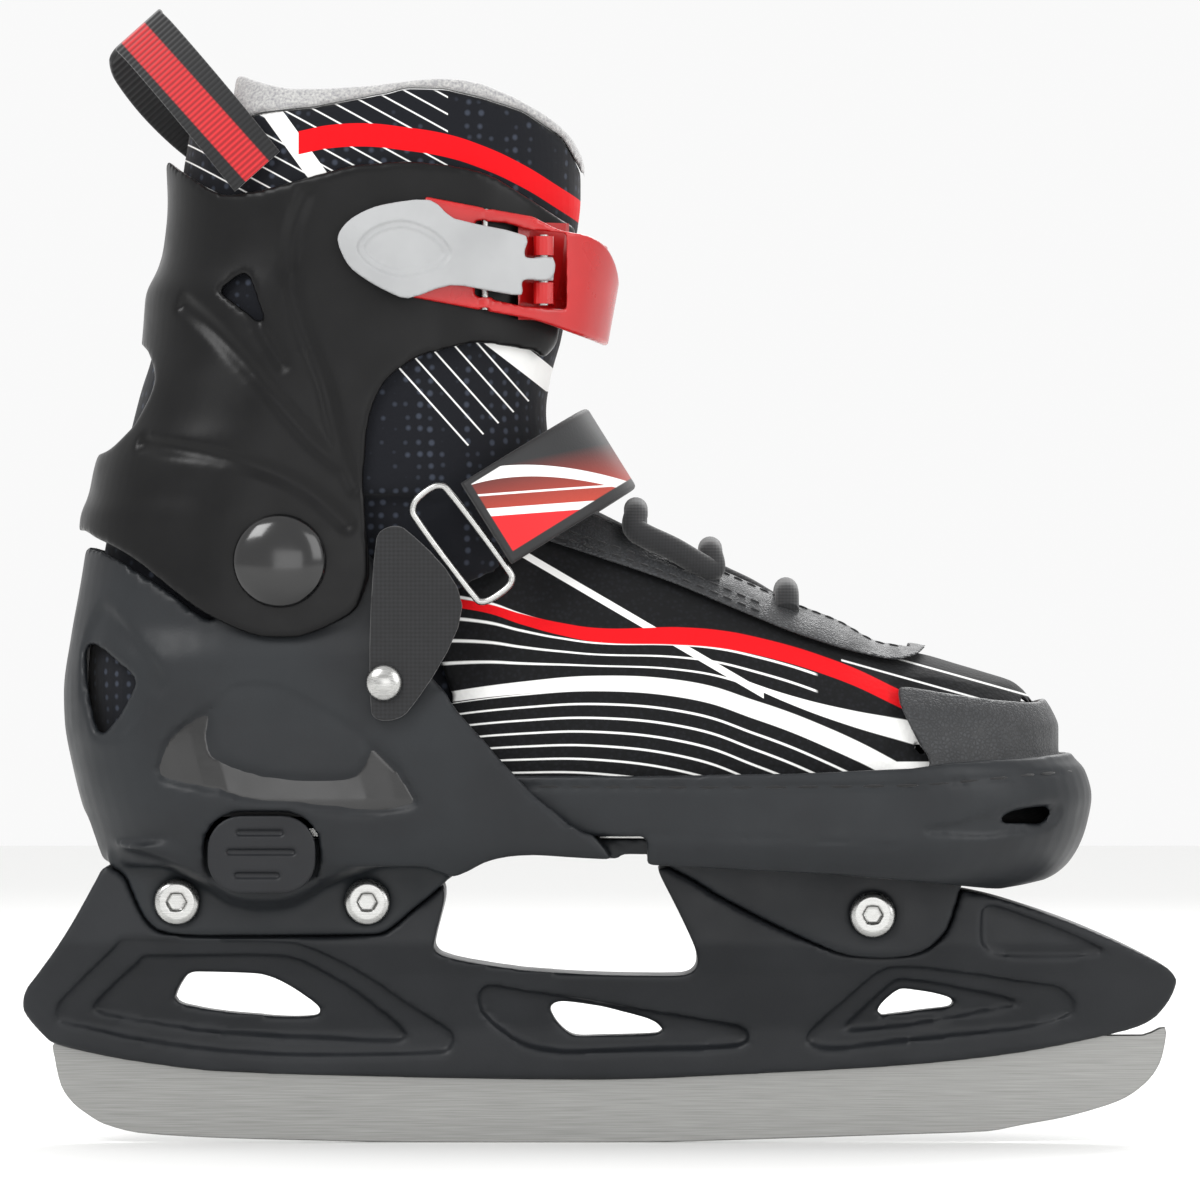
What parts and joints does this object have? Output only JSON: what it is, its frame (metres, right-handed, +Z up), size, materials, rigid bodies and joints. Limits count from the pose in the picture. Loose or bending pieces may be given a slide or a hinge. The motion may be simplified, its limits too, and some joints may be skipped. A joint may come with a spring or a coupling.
{
  "type": "ice skate",
  "caption": "Child's adjustable recreational ice skate, right foot: plastic shells on a steel blade, hinged cuff, lever buckle, instep strap and laced upper.",
  "frame": {"origin": "the middle of the blade's thickness, on its flat, under the boot", "axes": "+X towards the toe, +Z up from the ice, -Y the outer side"},
  "size_m": [0.2992, 0.0969, 0.2947],
  "materials": {
    "holder": "moulded nylon, fine grain",
    "shell": "moulded plastic, fine grain",
    "cuff": "satin moulded plastic",
    "blade": "brushed along its length",
    "steel": "plated",
    "gloss": "gloss black",
    "fabric": "mesh and padded nylon",
    "fleece": "brushed grey lining",
    "leather": "coated synthetic leather",
    "webbing": "woven polyester tape",
    "red": "moulded red plastic",
    "lever": "light grey moulded plastic",
    "button": "grey moulded plastic"
  },
  "bodies": {
    "root": {"blade_holder": "holder", "blade": "blade", "heel_shell": "shell", "upper": "fabric", "eyestay_lateral": "leather", "eyestay_medial": "leather", "tongue": "fabric", "lace": "fabric", "liner_lower": "fabric", "footbed": "fleece", "pivot_lateral": "gloss", "pivot_medial": "gloss", "keeper_strap": "fleece", "keeper_rivet": "steel", "strap_ring": "steel", "instep_strap": "webbing", "strap_rivet": "steel", "bolt_rear": "steel", "sleeve_nut_rear": "steel", "bolt_mid": "steel", "sleeve_nut_mid": "steel", "bolt_front": "steel", "sleeve_nut_front": "steel"},
    "cuff": {"cuff": "cuff", "liner_upper": "fabric", "collar": "fleece", "pull_loop": "webbing", "buckle_base": "red", "lever_pin": "steel", "ladder_strap": "red", "ladder_rivet": "steel"},
    "toe": {"toe_shell": "shell", "toe_cap": "leather", "size_rack": "steel"},
    "button": {"size_button": "button", "button_spring": "steel"},
    "lever": {"buckle_lever": "lever", "strap_pin": "steel"},
    "band": {"buckle_strap": "red"}
  },
  "joints": [
    {"name": "cuff_pivot", "type": "hinge", "parent": "root", "child": "cuff", "pos_m": [-0.082, 0, 0.151], "axis": [0, 1, 0], "range_deg": [-3, 5]},
    {"name": "toe_extend", "type": "slide", "parent": "root", "child": "toe", "axis": [1, 0, 0], "range_m": [0, 0.02]},
    {"name": "button_press", "type": "slide", "parent": "root", "child": "button", "axis": [0, 1, 0], "range_m": [0, 0.003]},
    {"name": "lever_open", "type": "hinge", "parent": "cuff", "child": "lever", "pos_m": [-0.0145, -0.034, 0.226], "axis": [0, 0, 1], "range_deg": [0, 90]},
    {"name": "strap_pivot", "type": "hinge", "parent": "lever", "child": "band", "pos_m": [-0.0295, -0.0362, 0.228], "axis": [0, 0, 1], "range_deg": [-90, 0]}
  ],
  "couplings": [
    {"joint": "strap_pivot", "follows": "lever_open", "ratio": -1}
  ]
}
